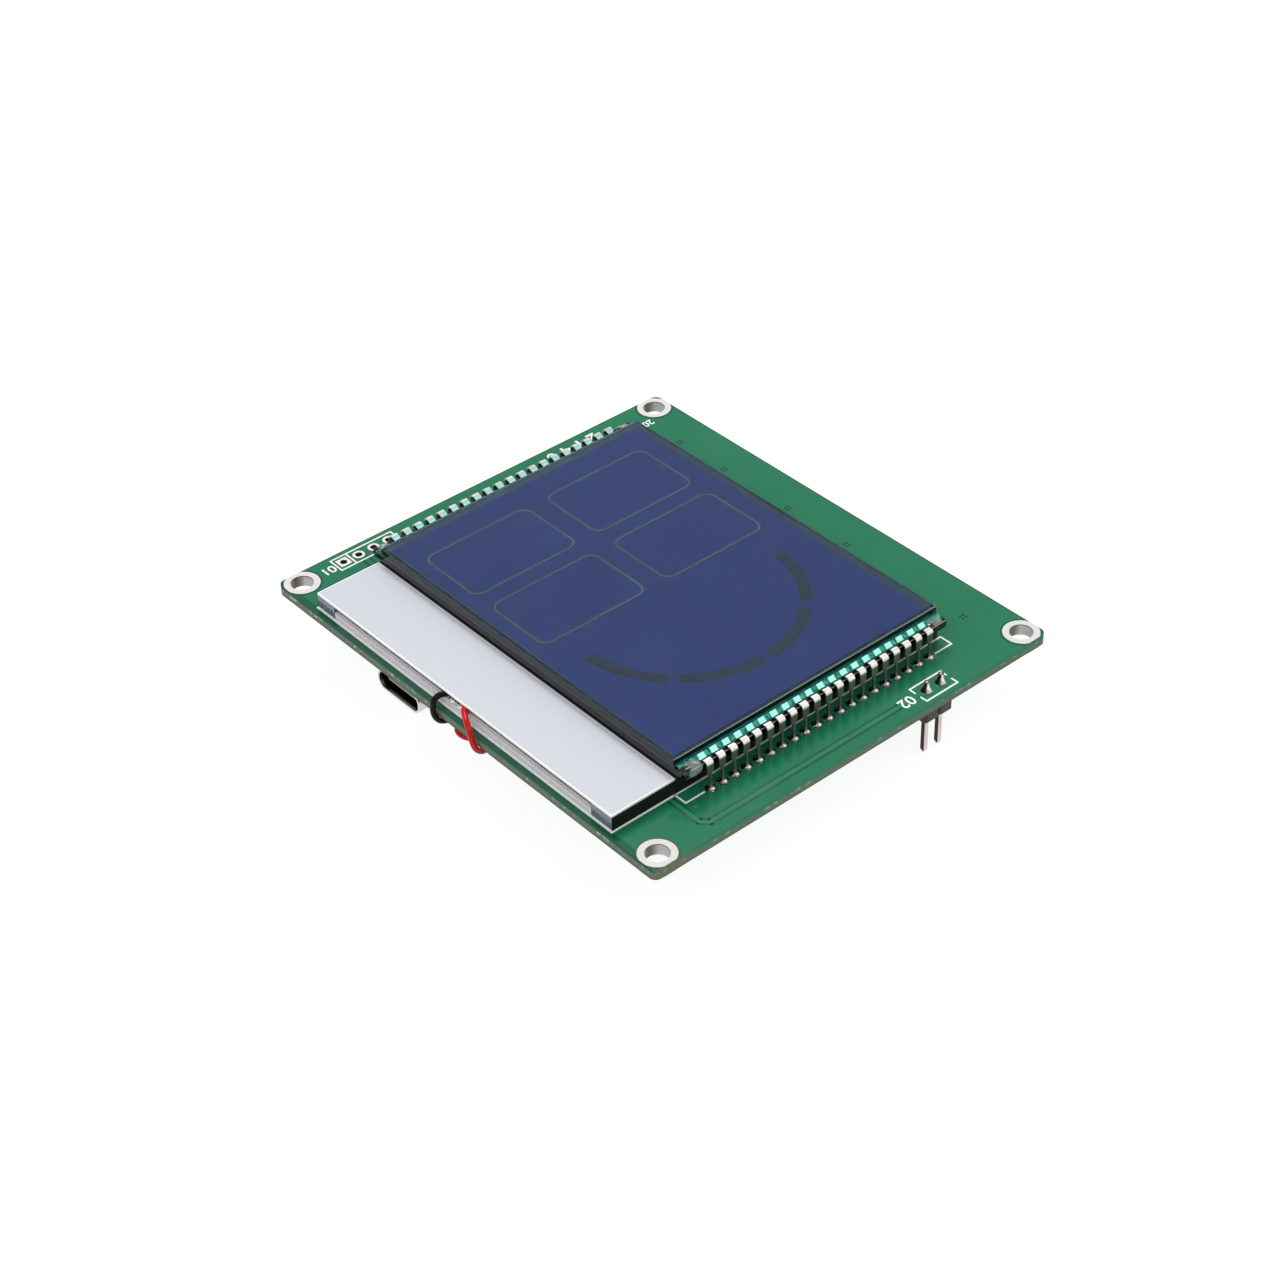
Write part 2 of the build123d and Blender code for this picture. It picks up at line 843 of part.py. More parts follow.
block_front = port_rear - port_block_length
port_axis_z = -port_height / 2
port_block = port_section(
    inner_width - 2 * port_clearance,
    inner_height - 2 * port_clearance,
    inner_radius - port_clearance,
    block_front,
    port_rear,
)
tongue = block(
    block_front - port_tongue_length,
    block_front,
    port_y - port_tongue_width / 2,
    port_y + port_tongue_width / 2,
    port_axis_z - port_tongue_thickness / 2,
    port_axis_z + port_tongue_thickness / 2,
)
tongue = fillet(tongue.faces().sort_by(Axis.X)[0].edges(), port_tongue_round)
write("port_tongue", port_block + tongue)

port_contacts = []
for offset in spread(port_contact_count, port_contact_pitch):
    for side in (-1, 1):
        surface = port_axis_z + side * port_tongue_thickness / 2
        low, high = sorted((surface, surface + side * port_contact_thickness))
        contact = block(
            block_front - port_contact_length,
            block_front,
            port_y + offset - port_contact_width / 2,
            port_y + offset + port_contact_width / 2,
            low,
            high,
        )
        port_contacts.append(contact)
    tail = block(
        port_rear,
        port_rear + port_tail_length,
        port_y + offset - port_contact_width / 2,
        port_y + offset + port_contact_width / 2,
        -port_tail_thickness,
        0,
    )
    rise = block(
        port_rear,
        port_rear + port_tail_thickness,
        port_y + offset - port_contact_width / 2,
        port_y + offset + port_contact_width / 2,
        port_axis_z,
        0,
    )
    port_contacts.append(tail + rise)
write("port_contacts", *port_contacts)


# Leads from the lamp strip round the board's edge to its underside

def lead(points):
    """A tube along straight runs, joined by the largest arcs that the runs allow."""
    ends = [Vector(*point) for point in points]
    runs = [b - a for a, b in zip(ends, ends[1:])]
    radii = []
    for before, after in zip(runs, runs[1:]):
        turn = radians(before.get_angle(after))
        radii.append(lead_bend_share * min(before.length, after.length) / tan(turn / 2))
    path = FilletPolyline(*ends, radius=radii)
    section = Plane(origin=path @ 0, z_dir=path % 0) * Circle(lead_diameter / 2)
    tube = sweep(section, path=path)
    expected = pi * lead_diameter**2 / 4 * path.length
    print("lead radii", [round(radius, 2) for radius in radii], "length", round(path.length, 2))
    print("lead volume over section times length", round(tube.volume / expected, 4))
    return tube


def route(from_strip, from_underside):
    """Points from the board's left edge and the display's middle, in two stretches."""
    upper = [(board_left + x, display_y + y, strip_top + z) for x, y, z in from_strip]
    lower = [(board_left + x, display_y + y, z) for x, y, z in from_underside]
    return upper + lower


# Heights over the top of the lamp strip, then heights from the board's underside.
black_over_edge = [
    (1.25, 2.4, 0.41),
    (0.3, 2.85, 0.41),
    (-0.5, 3.05, -0.1),
    (-0.78, 3.05, -1.3),
]
black_below = [
    (-0.72, 2.95, 0.45),
    (-0.15, 2.75, -0.6),
    (0.9, 2.55, -1.05),
    (2.1, 2.5, -1.0),
    (3.2, 2.4, -0.7),
    (4.1, 2.35, -0.5),
]
red_over_edge = [
    (1.25, -1.15, 0.41),
    (0.4, -2.15, 0.45),
    (-0.35, -3.55, 0.25),
    (-0.75, -4.65, -0.55),
    (-0.8, -5.05, -1.75),
]
red_below = [
    (-0.6, -5.4, -0.05),
    (0.25, -5.55, -0.85),
    (1.4, -5.25, -1.05),
    (2.1, -4.35, -1.1),
    (1.9, -3.2, -1.15),
    (1.1, -2.25, -1.2),
    (0.55, -1.15, -1.2),
    (0.6, 0.05, -1.1),
    (1.4, 0.85, -1.0),
    (2.5, 0.75, -0.85),
    (3.4, 0.15, -0.65),
    (4.1, -0.55, -0.5),
]
black_points = route(black_over_edge, black_below)
red_points = route(red_over_edge, red_below)
black_lead = lead(black_points)
red_lead = lead(red_points)
write("black_lead", black_lead)
write("red_lead", red_lead)

lead_solders = []
for solder_y in lead_solder_ys:
    joint = egg(
        backlight_left + strip_thickness / 2,
        solder_y,
        strip_top,
        strip_thickness * 0.7,
        lead_solder_length / 2,
        lead_solder_height,
    )
    joint -= strip_board
    joint -= [black_lead, red_lead]
    joint -= block(
        backlight_left + strip_thickness, backlight_right, strip_front, strip_back, 0, display_top
    )
    lead_solders.append(joint)
write("lamp_strip_solder", *lead_solders)

pad_solders = []
for end_x, end_y, end_z in (black_points[-1], red_points[-1]):
    drop = egg(end_x, end_y, 0, lead_pad_radius, lead_pad_radius, lead_pad_height)
    drop = drop & block(end_x - 2, end_x + 2, end_y - 2, end_y + 2, -2, 0)
    pad_solders.append(drop - [black_lead, red_lead])
write("lead_pad_solder", *pad_solders)


# Driver chip under the board

driver_bottom = -driver_standoff - driver_height
driver_body = slab(driver_size, driver_size, driver_bottom, -driver_standoff, driver_x, driver_y)
driver_body = chamfer(driver_body.faces().sort_by(Axis.Z)[0].edges(), driver_chamfer)
write("driver_chip_body", driver_body)

half_driver = driver_size / 2
pin_level = -driver_standoff - driver_height / 2
shoulder = half_driver + driver_pin_shoulder
heel = half_driver + driver_pin_heel
toe = half_driver + driver_pin_reach
driver_pin = prism(
    [
        (half_driver, pin_level),
        (half_driver, pin_level - driver_pin_sheet),
        (shoulder + driver_pin_sheet, pin_level - driver_pin_sheet),
        (heel + driver_pin_sheet, -driver_pin_sheet),
        (toe, -driver_pin_sheet),
        (toe, 0),
        (heel, 0),
        (shoulder, pin_level),
    ],
    driver_pin_width / 2,
)
driver_pins = [
    Pos(driver_x, driver_y, 0) * Rot(0, 0, 90 * side) * Pos(offset, 0, 0) * driver_pin
    for side in range(4)
    for offset in spread(driver_pins_per_side, driver_pin_pitch)
]
write("driver_chip_pins", *driver_pins)


# Regulator, resistors and capacitors under the board

resistor_column_x = port_rear + resistor_column_offset
regulator_x = resistor_column_x + regulator_offset
regulator_y = port_y
regulator_bottom = -driver_standoff - regulator_height
regulator = slab(
    regulator_width, regulator_length, regulator_bottom, -driver_standoff, regulator_x, regulator_y
)
write("regulator_body", regulator)
half_regulator = regulator_width / 2
regulator_pins = []
for side, offsets in ((-1, spread(2, 2 * regulator_pin_pitch)), (1, [0])):
    foot_x = regulator_x + side * (half_regulator + regulator_pin_reach / 2)
    for offset in offsets:
        foot = slab(
            regulator_pin_reach,
            regulator_pin_width,
            -regulator_pin_thickness,
            0,
            foot_x,
            regulator_y + offset,
        )
        regulator_pins.append(foot)
write("regulator_pins", *regulator_pins)


def chip_part(x, y, length, width, height, cap):
    """The body and the two end caps of a small part that lies along X under the board."""
    body = slab(length - 2 * cap, width, -height, 0, x, y)
    caps = [slab(cap, width, -height, 0, x + side * (length - cap) / 2, y) for side in (-1, 1)]
    return body, caps


column_ys = [port_y + offset for offset in spread(resistor_column_count, resistor_pitch)]
resistor_places = [(resistor_column_x, y) for y in column_ys]
driver_ys = [driver_y + offset for offset in spread(3, resistor_pitch)]
resistor_places += [(driver_x + resistor_driver_offset, y) for y in driver_ys]
capacitor_places = []
for offset in spread(2, capacitor_pitch):
    capacitor_places.append((regulator_x + capacitor_regulator_offset, regulator_y + offset))
    capacitor_places.append((driver_x + capacitor_driver_offset, driver_y + offset))
resistors = []
capacitors = []
end_caps = []
for x, y in resistor_places:
    body, caps = chip_part(x, y, resistor_length, resistor_width, resistor_height, resistor_cap)
    resistors.append(body)
    end_caps += caps
for x, y in capacitor_places:
    body, caps = chip_part(x, y, capacitor_length, capacitor_width, capacitor_height, capacitor_cap)
    capacitors.append(body)
    end_caps += caps
write("resistors", *resistors)
write("capacitors", *capacitors)
write("part_end_caps", *end_caps)
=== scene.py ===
import bmesh
import bpy
from math import atan2, cos, pi, sin
from mathutils import Matrix, Vector, noise


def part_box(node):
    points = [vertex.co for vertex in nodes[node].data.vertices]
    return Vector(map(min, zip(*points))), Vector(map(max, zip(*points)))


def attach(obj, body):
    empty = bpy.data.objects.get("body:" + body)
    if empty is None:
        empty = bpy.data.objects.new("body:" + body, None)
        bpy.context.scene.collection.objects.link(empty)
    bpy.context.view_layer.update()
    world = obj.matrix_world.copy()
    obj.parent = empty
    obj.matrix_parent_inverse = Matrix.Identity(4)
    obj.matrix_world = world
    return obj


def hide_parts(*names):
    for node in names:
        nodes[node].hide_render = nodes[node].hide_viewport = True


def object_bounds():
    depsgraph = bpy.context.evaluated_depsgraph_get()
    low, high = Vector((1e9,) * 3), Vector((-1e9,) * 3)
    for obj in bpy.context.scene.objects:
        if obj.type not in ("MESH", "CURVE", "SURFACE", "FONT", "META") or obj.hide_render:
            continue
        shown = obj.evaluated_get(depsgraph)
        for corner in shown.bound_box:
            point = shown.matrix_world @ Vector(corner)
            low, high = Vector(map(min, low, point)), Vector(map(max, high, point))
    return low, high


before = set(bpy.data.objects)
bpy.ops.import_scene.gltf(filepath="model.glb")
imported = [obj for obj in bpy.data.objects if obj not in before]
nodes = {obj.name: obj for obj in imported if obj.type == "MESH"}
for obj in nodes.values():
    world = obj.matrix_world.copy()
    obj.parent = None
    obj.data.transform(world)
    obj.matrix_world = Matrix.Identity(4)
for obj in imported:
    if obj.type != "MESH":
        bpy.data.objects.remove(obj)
cad_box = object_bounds()
mm = 0.001
scene = bpy.context.scene


# Places that the finishes and the pieces follow

board_low, board_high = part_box("circuit_board")
board_top = board_high.z
strip_low, strip_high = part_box("lamp_strip_board")
lamps_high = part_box("edge_lamps")[1]
guide_low, guide_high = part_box("light_guide")
film_low, film_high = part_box("diffuser_sheet")
ledge_low, ledge_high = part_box("rear_glass")
plate_low, plate_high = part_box("front_glass")
pins_low, pins_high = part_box("front_clip_pins")
port_low, port_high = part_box("port_shell")
port_middle_y = (port_low.y + port_high.y) / 2
display_middle_y = 0.25 * mm


# Camera, at the photograph's viewing angle

camera_place = Vector((-185.61, -219.43, 220.89)) * mm
camera_look = Vector((0.50411, 0.60534, -0.61598))
camera_up = Vector((0.41795, 0.45317, 0.78738))
camera_data = bpy.data.cameras.new("viewer")
camera_data.lens = 76.55
camera_data.sensor_width = 36.0
camera_data.clip_start = 0.01
camera_data.clip_end = 20.0
camera = bpy.data.objects.new("viewer", camera_data)
camera_turn = Matrix((camera_look.cross(camera_up), camera_up, -camera_look)).transposed()
camera.matrix_world = Matrix.Translation(camera_place) @ camera_turn.to_4x4()
scene.collection.objects.link(camera)
scene.camera = camera
scene.view_settings.view_transform = "Standard"


# Node helpers

def node(tree, kind, **settings):
    """A new node with some of its settings."""
    made = tree.nodes.new(kind)
    for name, value in settings.items():
        setattr(made, name, value)
    return made


def sums(tree, operation, *parts):
    """A Math node over sockets and numbers. Returns its socket."""
    made = node(tree, "ShaderNodeMath", operation=operation)
    for socket, part in zip(made.inputs, parts):
        if isinstance(part, (int, float)):
            socket.default_value = part
        else:
            tree.links.new(part, socket)
    return made.outputs[0]


def between(tree, value, low, high, to_low=0.0, to_high=1.0):
    """A socket stretched from one range to another."""
    made = node(tree, "ShaderNodeMapRange")
    tree.links.new(value, made.inputs["Value"])
    for name, number in zip(("From Min", "From Max", "To Min", "To Max"), (low, high, to_low, to_high)):
        made.inputs[name].default_value = number
    return made.outputs["Result"]


def blended(tree, amount, first, second):
    """A colour between two colours or sockets."""
    made = node(tree, "ShaderNodeMix", data_type="RGBA")
    tree.links.new(amount, made.inputs[0])
    for socket, part in ((made.inputs[6], first), (made.inputs[7], second)):
        if isinstance(part, tuple):
            socket.default_value = (*part, 1.0)
        else:
            tree.links.new(part, socket)
    return made.outputs[2]


def ramp(tree, value, stops):
    """A colour ramp from stops of place and colour."""
    made = node(tree, "ShaderNodeValToRGB")
    tree.links.new(value, made.inputs[0])
    elements = made.color_ramp.elements
    while len(elements) < len(stops):
        elements.new(0.5)
    for element, (stop, colour) in zip(elements, stops):
        element.position = stop
        element.color = (*colour, 1.0)
    return made.outputs["Color"]


def object_place(tree):
    """The point of the surface, in the shared frame."""
    return node(tree, "ShaderNodeTexCoord").outputs["Object"]


def place(tree, axis):
    """One coordinate of the surface's point: X, Y or Z."""
    parts = node(tree, "ShaderNodeSeparateXYZ")
    tree.links.new(object_place(tree), parts.inputs[0])
    return parts.outputs[axis]


def normal(tree, axis):
    """How far the surface faces along an axis, from -1 to 1."""
    parts = node(tree, "ShaderNodeSeparateXYZ")
    tree.links.new(node(tree, "ShaderNodeNewGeometry").outputs["Normal"], parts.inputs[0])
    return parts.outputs[axis]


def clouds(tree, scale, detail=2.0):
    """Soft noise over the surface, from 0 to 1."""
    made = node(tree, "ShaderNodeTexNoise")
    made.inputs["Scale"].default_value = scale
    made.inputs["Detail"].default_value = detail
    tree.links.new(object_place(tree), made.inputs["Vector"])
    return made.outputs["Fac"]


def paint(*chart):
    """A colour as a paint chart gives it, from 0 to 255."""
    return tuple(((c / 255 + 0.055) / 1.055) ** 2.4 if c > 10 else c / 255 / 12.92 for c in chart)


# Studio: a pale tent that is dimmer behind the object, a white floor and three soft lamps

def soft_lamp(name, direction, distance, size, watts):
    """A square lamp that points at the middle of the board."""
    data = bpy.data.lights.new(name, "AREA")
    data.size = size
    data.energy = watts
    lamp = bpy.data.objects.new(name, data)
    stand = Vector(direction).normalized() * distance
    lamp.matrix_world = Matrix.Translation(stand) @ stand.to_track_quat("Z", "Y").to_matrix().to_4x4()
    scene.collection.objects.link(lamp)


tent_level = 0.56
tent_level_behind = 0.37
way_behind = (0.56, 0.68, 0.47)
dimming_start = 0.5
dimming_end = 0.93
world = bpy.data.worlds.new("pale_tent")
scene.world = world
world.use_nodes = True
sky = world.node_tree
background = sky.nodes["Background"]
background.inputs["Color"].default_value = (1.0, 1.0, 1.0, 1.0)
toward = node(sky, "ShaderNodeVectorMath", operation="DOT_PRODUCT")
sky.links.new(node(sky, "ShaderNodeTexCoord").outputs["Generated"], toward.inputs[0])
toward.inputs[1].default_value = way_behind
level = between(sky, toward.outputs["Value"], dimming_start, dimming_end, tent_level, tent_level_behind)
sky.links.new(level, background.inputs["Strength"])

soft_lamp("back_lamp", direction=(0.35, 0.6, 1.3), distance=0.7, size=0.25, watts=2.55)
soft_lamp("front_left_lamp", direction=(-0.75, -0.3, 0.8), distance=0.7, size=0.2, watts=0.6)
soft_lamp("front_right_lamp", direction=(0.5, -0.6, 0.62), distance=0.7, size=0.45, watts=0.6)

floor_reach = 3.0
floor_glow = 0.9
floor_as_seen = (0.2, 0.2, 0.2)
floor_as_light = (0.8, 0.8, 0.8)
floor_mesh = bpy.data.meshes.new("floor")
floor_form = bmesh.new()
bmesh.ops.create_grid(floor_form, x_segments=1, y_segments=1, size=floor_reach)
bmesh.ops.translate(floor_form, verts=floor_form.verts, vec=(0, 0, cad_box[0].z))
floor_form.to_mesh(floor_mesh)
floor_form.free()
floor = bpy.data.objects.new("floor", floor_mesh)
scene.collection.objects.link(floor)
floor_finish = bpy.data.materials.new("white_floor")
floor_finish.use_nodes = True
tree = floor_finish.node_tree
tree.nodes.clear()
path = node(tree, "ShaderNodeLightPath").outputs
seen = sums(tree, "MAXIMUM", path["Is Camera Ray"], path["Is Glossy Ray"])
seen = sums(tree, "MAXIMUM", seen, path["Is Transmission Ray"])
glow = node(tree, "ShaderNodeEmission")
tree.links.new(sums(tree, "MULTIPLY", seen, floor_glow), glow.inputs["Strength"])
matt = node(tree, "ShaderNodeBsdfDiffuse")
tree.links.new(blended(tree, seen, floor_as_light, floor_as_seen), matt.inputs["Color"])
together = node(tree, "ShaderNodeAddShader")
tree.links.new(matt.outputs[0], together.inputs[0])
tree.links.new(glow.outputs[0], together.inputs[1])
tree.links.new(together.outputs[0], node(tree, "ShaderNodeOutputMaterial").inputs["Surface"])
floor_mesh.materials.append(floor_finish)


# Finishes

fixed_sockets = {
    "metallic": "Metallic", "see_through": "Transmission Weight", "bending": "IOR",
    "shine": "Specular IOR Level", "cover": "Alpha",
}


def finish(name, colour, drift=0.12, grain=900.0, roughness=0.5, gloss_drift=0.08, bump=0.01, **fixed):
    """A finish whose colour, gloss and height drift a little over the surface."""
    material = bpy.data.materials.new(name)
    material.use_nodes = True
    tree = material.node_tree
    shader = tree.nodes["Principled BSDF"]
    for word, value in fixed.items():
        shader.inputs[fixed_sockets[word]].default_value = value
    amount = clouds(tree, grain, 4.0)
    dark = tuple(max(0.0, c * (1 - drift)) for c in colour)
    light = tuple(min(1.0, c * (1 + drift)) for c in colour)
    tree.links.new(blended(tree, amount, dark, light), shader.inputs["Base Color"])
    gloss = between(tree, amount, 0.0, 1.0, max(0.0, roughness - gloss_drift), roughness + gloss_drift)
    tree.links.new(gloss, shader.inputs["Roughness"])
    relief = node(tree, "ShaderNodeBump")
    relief.inputs["Distance"].default_value = bump * mm
    tree.links.new(amount, relief.inputs["Height"])
    tree.links.new(relief.outputs["Normal"], shader.inputs["Normal"])
    return material


def sawn_edge(tree):
    """The sawn edge of the laminate: grey at the sides, greener at the front, with pale flecks of fibre."""
    height = between(tree, place(tree, "Z"), 0.0, board_top)
    at_sides = ramp(tree, height, [
        (0.0, paint(86, 92, 78)), (0.4, paint(106, 126, 112)),
        (0.66, paint(92, 120, 104)), (0.8, paint(8, 82, 52)),
    ])
    at_front = ramp(tree, height, [
        (0.0, paint(96, 100, 84)), (0.35, paint(88, 118, 96)),
        (0.6, paint(62, 122, 90)), (0.9, paint(40, 120, 84)),
    ])
    front = between(tree, normal(tree, "Y"), -0.9, -0.4, 1.0, 0.0)
    edge = blended(tree, front, at_sides, at_front)

    corner = between(tree, place(tree, "X"), -26.0 * mm, -31.0 * mm)
    browned = sums(tree, "MULTIPLY", sums(tree, "MULTIPLY", corner, front), 0.7)
    edge = blended(tree, browned, edge, paint(112, 106, 90))

    flecks = between(tree, clouds(tree, 1100.0), 0.57, 0.68)
    belt = sums(tree, "MULTIPLY", between(tree, height, 0.4, 0.5), between(tree, height, 0.72, 0.6))
    flecks = sums(tree, "MULTIPLY", flecks, between(tree, front, 0.0, 1.0, 1.0, 0.4))
    return blended(tree, sums(tree, "MULTIPLY", flecks, belt), edge, paint(206, 218, 206))


def solder_mask(tree, wide):
    """The green mask on both faces, brown on the far rim, and darkened left of the backlight as painted shade
    of the backlight.
    """
    mask = blended(tree, wide, paint(22, 112, 79), paint(38, 125, 91))
    right_rim = between(tree, place(tree, "X"), 33.8 * mm, 33.88 * mm)
    back_rim = between(tree, place(tree, "Y"), 38.55 * mm, 38.63 * mm)
    mask = blended(tree, sums(tree, "MAXIMUM", right_rim, back_rim), mask, paint(70, 60, 46))
    # Painted shade: the strip of mask left of the backlight is darkened as if it lay in the backlight's
    # shadow.
    backlight_shade_margin = between(tree, place(tree, "X"), -33.0 * mm, -33.2 * mm, 0.0, 0.8)
    return blended(tree, backlight_shade_margin, mask, paint(12, 84, 56))


def board_finish():
    """Green mask on both faces, and the sawn edge of the laminate between them."""
    material = finish("green_board", paint(30, 118, 82), roughness=0.3)
    tree = material.node_tree
    shader = tree.nodes["Principled BSDF"]
    flat = sums(tree, "GREATER_THAN", sums(tree, "ABSOLUTE", normal(tree, "Z")), 0.5)
    wide = clouds(tree, 70.0)
    tree.links.new(blended(tree, flat, sawn_edge(tree), solder_mask(tree, wide)), shader.inputs["Base Color"])
    edge_dull = between(tree, flat, 0.0, 1.0, 0.75, 0.1)
    dull = sums(tree, "ADD", edge_dull, between(tree, wide, 0.3, 0.7, 0.0, 0.06))
    tree.links.new(dull, shader.inputs["Roughness"])
    return material


green_board = board_finish()
track_green = finish("track_green", paint(40, 126, 92), drift=0.1, grain=200.0, roughness=0.14)
via_green = finish("via_green", paint(0, 44, 34), drift=0.2, roughness=0.3)
gap_green = finish("gap_green", paint(14, 82, 62), drift=0.1, grain=200.0, roughness=0.2)
pad_tin = finish("pad_tin", (0.72, 0.70, 0.68), drift=0.05, grain=1500.0, roughness=0.6, metallic=0.05)
hole_tin = finish("hole_tin", (0.80, 0.77, 0.75), drift=0.05, grain=1500.0, roughness=0.42, metallic=0.15)
clip_tin = finish(
    "clip_tin", (0.88, 0.84, 0.79), drift=0.06, grain=400.0, roughness=0.36, bump=0.001, metallic=1.0)
pin_tin = finish("pin_tin", (0.66, 0.56, 0.53), drift=0.25, grain=700.0, roughness=0.3, metallic=1.0)
solder = finish(
    "solder", (0.30, 0.28, 0.28), drift=0.5, grain=1300.0, roughness=0.12, bump=0.1, metallic=1.0)
bright_solder = finish(
    "bright_solder", (0.78, 0.78, 0.76), drift=0.15, grain=2200.0, roughness=0.12, bump=0.08, metallic=1.0)
white_ink = finish("white_ink", paint(246, 250, 246), drift=0.02, grain=3000.0, roughness=0.6)
white_film = finish("white_film", paint(203, 206, 213), drift=0.015, grain=60.0, roughness=0.42)
acrylic = finish(
    "acrylic", (0.34, 0.43, 0.56), drift=0.1, grain=300.0, roughness=0.06, gloss_drift=0.03, bump=0.001,
    see_through=0.6, bending=1.49)
black_tape = finish("black_tape", paint(11, 12, 13), drift=0.3, roughness=0.4, shine=0.25)
strip_white = finish("strip_white", paint(226, 220, 232), drift=0.04, roughness=0.4)
lamp_white = finish("lamp_white", paint(230, 228, 205), drift=0.04, roughness=0.35)
copper = finish("copper", (0.30, 0.21, 0.11), drift=0.4, grain=2500.0, roughness=0.35, metallic=0.6)
gold = finish("gold", (0.80, 0.58, 0.24), drift=0.08, roughness=0.25, metallic=1.0)
clear_glass = finish(
    "clear_glass", (0.92, 0.92, 0.90), drift=0.01, roughness=0.015, gloss_drift=0.01, bump=0.0005,
    see_through=1.0, bending=1.52, shine=0.2)
painted_glint_finish = finish("painted_glint_finish", paint(206, 214, 210), drift=0.3, roughness=0.4, cover=0.8)
film = finish(
    "polarizing_film", (0.43, 0.61, 0.80), drift=0.03, grain=120.0, roughness=0.1, gloss_drift=0.03,
    bump=0.0005, see_through=1.0, bending=1.5)
dark_film = finish("dark_film", paint(8, 10, 40), drift=0.1, roughness=0.3)
seal_grey = finish("seal_grey", (0.10, 0.17, 0.20), drift=0.14, grain=1500.0)
crystal_blue = finish("crystal_blue", (0.012, 0.063, 0.66), drift=0.05, grain=30.0)
segment_grey = finish("segment_grey", (0.98, 0.72, 0.42), drift=0.06, grain=600.0)
arc_grey = finish("arc_grey", (0.0, 0.045, 0.09), drift=0.2, grain=60.0)
clear_resin = finish(
    "clear_resin", (0.70, 0.86, 0.84), drift=0.3, roughness=0.04, gloss_drift=0.03, bump=0.04,
    see_through=0.8, bending=1.5)
teal_resin = finish(
    "teal_resin", paint(0, 134, 112), drift=0.3, grain=500.0, roughness=0.06, gloss_drift=0.04, cover=0.62)
black_plastic = finish("black_plastic", paint(26, 26, 28), drift=0.2, grain=2500.0, roughness=0.45)
steel = finish("steel", (0.66, 0.65, 0.64), drift=0.06, grain=1200.0, roughness=0.3, metallic=1.0)
black_sleeve = finish("black_sleeve", paint(8, 8, 10), drift=0.2, grain=400.0, roughness=0.25, shine=0.15)
red_sleeve = finish("red_sleeve", paint(200, 6, 8), drift=0.1, grain=400.0, roughness=0.18, shine=0.3)
tongue_grey = finish("tongue_grey", paint(150, 150, 142), drift=0.2, roughness=0.4)
tan_ceramic = finish("tan_ceramic", paint(150, 122, 92), drift=0.08, grain=2500.0, roughness=0.4)


# Second colours over part of a finish. Each share is a function of the node tree.

def overpaint(material, share, colour):
    """Lay a second colour over a share of a finish."""
    tree = material.node_tree
    base = tree.nodes["Principled BSDF"].inputs["Base Color"]
    under = base.links[0].from_socket
    tree.links.new(blended(tree, share(tree), under, colour), base)


def where(axis, none, whole):
    """A share that grows along an axis, from the place of none to the place of the whole."""
    return lambda tree: between(tree, place(tree, axis), none, whole)


def facing(axis, none, whole):
    """A share that grows with how far the surface faces along an axis."""
    return lambda tree: between(tree, normal(tree, axis), none, whole)


def standing(none, whole):
    """A share that grows as the surface comes nearer to upright."""
    return lambda tree: between(tree, sums(tree, "ABSOLUTE", normal(tree, "Z")), none, whole)


def patches(scale, detail, none, whole):
    """Scattered patches."""
    return lambda tree: between(tree, clouds(tree, scale, detail), none, whole)


def both(first, second):
    """The share that two shares have in common."""
    return lambda tree: sums(tree, "MULTIPLY", first(tree), second(tree))


def from_middle(tree):
    """The distance of a point from the display's middle, along the board."""
    return sums(tree, "ABSOLUTE", sums(tree, "SUBTRACT", place(tree, "Y"), display_middle_y))


def out_from_middle(none, whole):
    """A share that grows with the distance from the display's middle."""
    return lambda tree: between(tree, from_middle(tree), none, whole)


def resin_ridge(tree):
    """The lit ridge along the resin."""
    aside = sums(tree, "ABSOLUTE", sums(tree, "SUBTRACT", from_middle(tree), ridge_out))
    return between(tree, aside, 0.36 * mm, 0.16 * mm)


def shell_inside(tree):
    """The floor and the far end of the plug receptacle's inside."""
    far_half = where("Y", port_middle_y, port_middle_y + 1.0 * mm)(tree)
    far_end = sums(tree, "MULTIPLY", facing("Y", -0.1, -0.4)(tree), far_half)
    walls = sums(tree, "MAXIMUM", facing("Z", 0.1, 0.4)(tree), far_end)
    past_mouth = where("X", port_low.x + 0.3 * mm, port_low.x + 0.5 * mm)(tree)
    return sums(tree, "MULTIPLY", walls, past_mouth)


def film_border(tree):
    """The top sheet's edges painted bright as painted light where they catch the light, and the line beside
    the cell.
    """
    beside = where("X", ledge_low.x - 0.5 * mm, ledge_low.x - 0.42 * mm)(tree)
    left = where("X", film_low.x + border, film_low.x + border_inside)(tree)
    front = where("Y", film_low.y + border, film_low.y + border_inside)(tree)
    back = where("Y", film_high.y - border, film_high.y - border_inside)(tree)
    return sums(tree, "MAXIMUM", sums(tree, "MAXIMUM", beside, left), sums(tree, "MAXIMUM", front, back))


ridge_out = 30.45 * mm
border = 0.2 * mm
border_inside = 0.12 * mm
upright = standing(0.6, 0.4)
upper_face = facing("Z", 0.4, 0.6)
left_face = facing("X", -0.5, -0.8)
under_top = where("Z", 1.48 * mm, 1.54 * mm)
strip_inner_line = where("X", strip_high.x - 0.2 * mm, strip_high.x - 0.14 * mm)
back_half = where("Y", 0.0, 1.0 * mm)

overpaint(clear_glass, standing(0.5, 0.3), (0.10, 0.14, 0.14))
overpaint(arc_grey, where("X", 0.2 * mm, -0.2 * mm), (0.0, 0.045, 0.06))
overpaint(arc_grey, where("X", -11.6 * mm, -11.9 * mm), (0.03, 0.0, 0.03))
# Painted shade and light on the lamp strip: a slate band of shade along the top of its outer face, painted
# light on its top face for the light that the sheet above lets through, and a dark line of shade along the
# top face's inner edge.
overpaint(strip_white, where("Z", 2.84 * mm, 2.9 * mm), paint(96, 104, 122))
overpaint(strip_white, upper_face, (0.95, 0.94, 0.90))
overpaint(strip_white, both(upper_face, strip_inner_line), (0.06, 0.05, 0.05))
